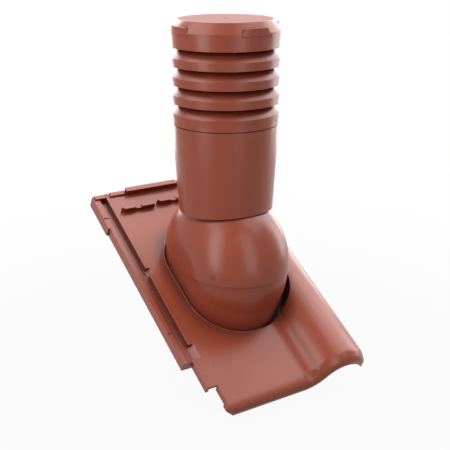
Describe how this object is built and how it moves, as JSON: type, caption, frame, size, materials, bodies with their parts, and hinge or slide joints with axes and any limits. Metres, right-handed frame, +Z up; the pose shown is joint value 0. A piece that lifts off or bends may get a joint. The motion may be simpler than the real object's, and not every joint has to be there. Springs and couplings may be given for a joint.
{
  "type": "roof vent pipe",
  "caption": "Roof vent pipe on an interlocking roof tile: pitch-adjustable domed hood, tapered sleeve, louvred cowl with lid and an inner duct.",
  "frame": {"origin": "where the vertical pipe's axis crosses the top plane of the tile's pan", "axes": "+Z up along the pipe, +X across the tile to its roll edge, +Y horizontally up the slope; the tile is pitched 29.5 degrees as it lies on the roof"},
  "size_m": [0.272, 0.3938, 0.5355],
  "materials": {
    "terracotta_plastic": "satin moulded polypropylene, terracotta",
    "black_rubber": "matt EPDM",
    "screw_steel": "zinc plated"
  },
  "bodies": {
    "base": {"base_tile": "terracotta_plastic", "dome_seat": "terracotta_plastic", "dome_gasket": "black_rubber", "seat_screws": "screw_steel"},
    "stack": {"hood": "terracotta_plastic", "hood_screws": "terracotta_plastic", "inner_duct": "terracotta_plastic", "duct_seal": "black_rubber", "outer_sleeve": "terracotta_plastic", "louvre_cowl": "terracotta_plastic", "cap_lid": "terracotta_plastic"}
  },
  "joints": [
    {"name": "pitch_adjust", "type": "hinge", "parent": "base", "child": "stack", "pos_m": [0, 0, 0.037], "axis": [1, 0, 0], "range_deg": [-10, 15]}
  ]
}
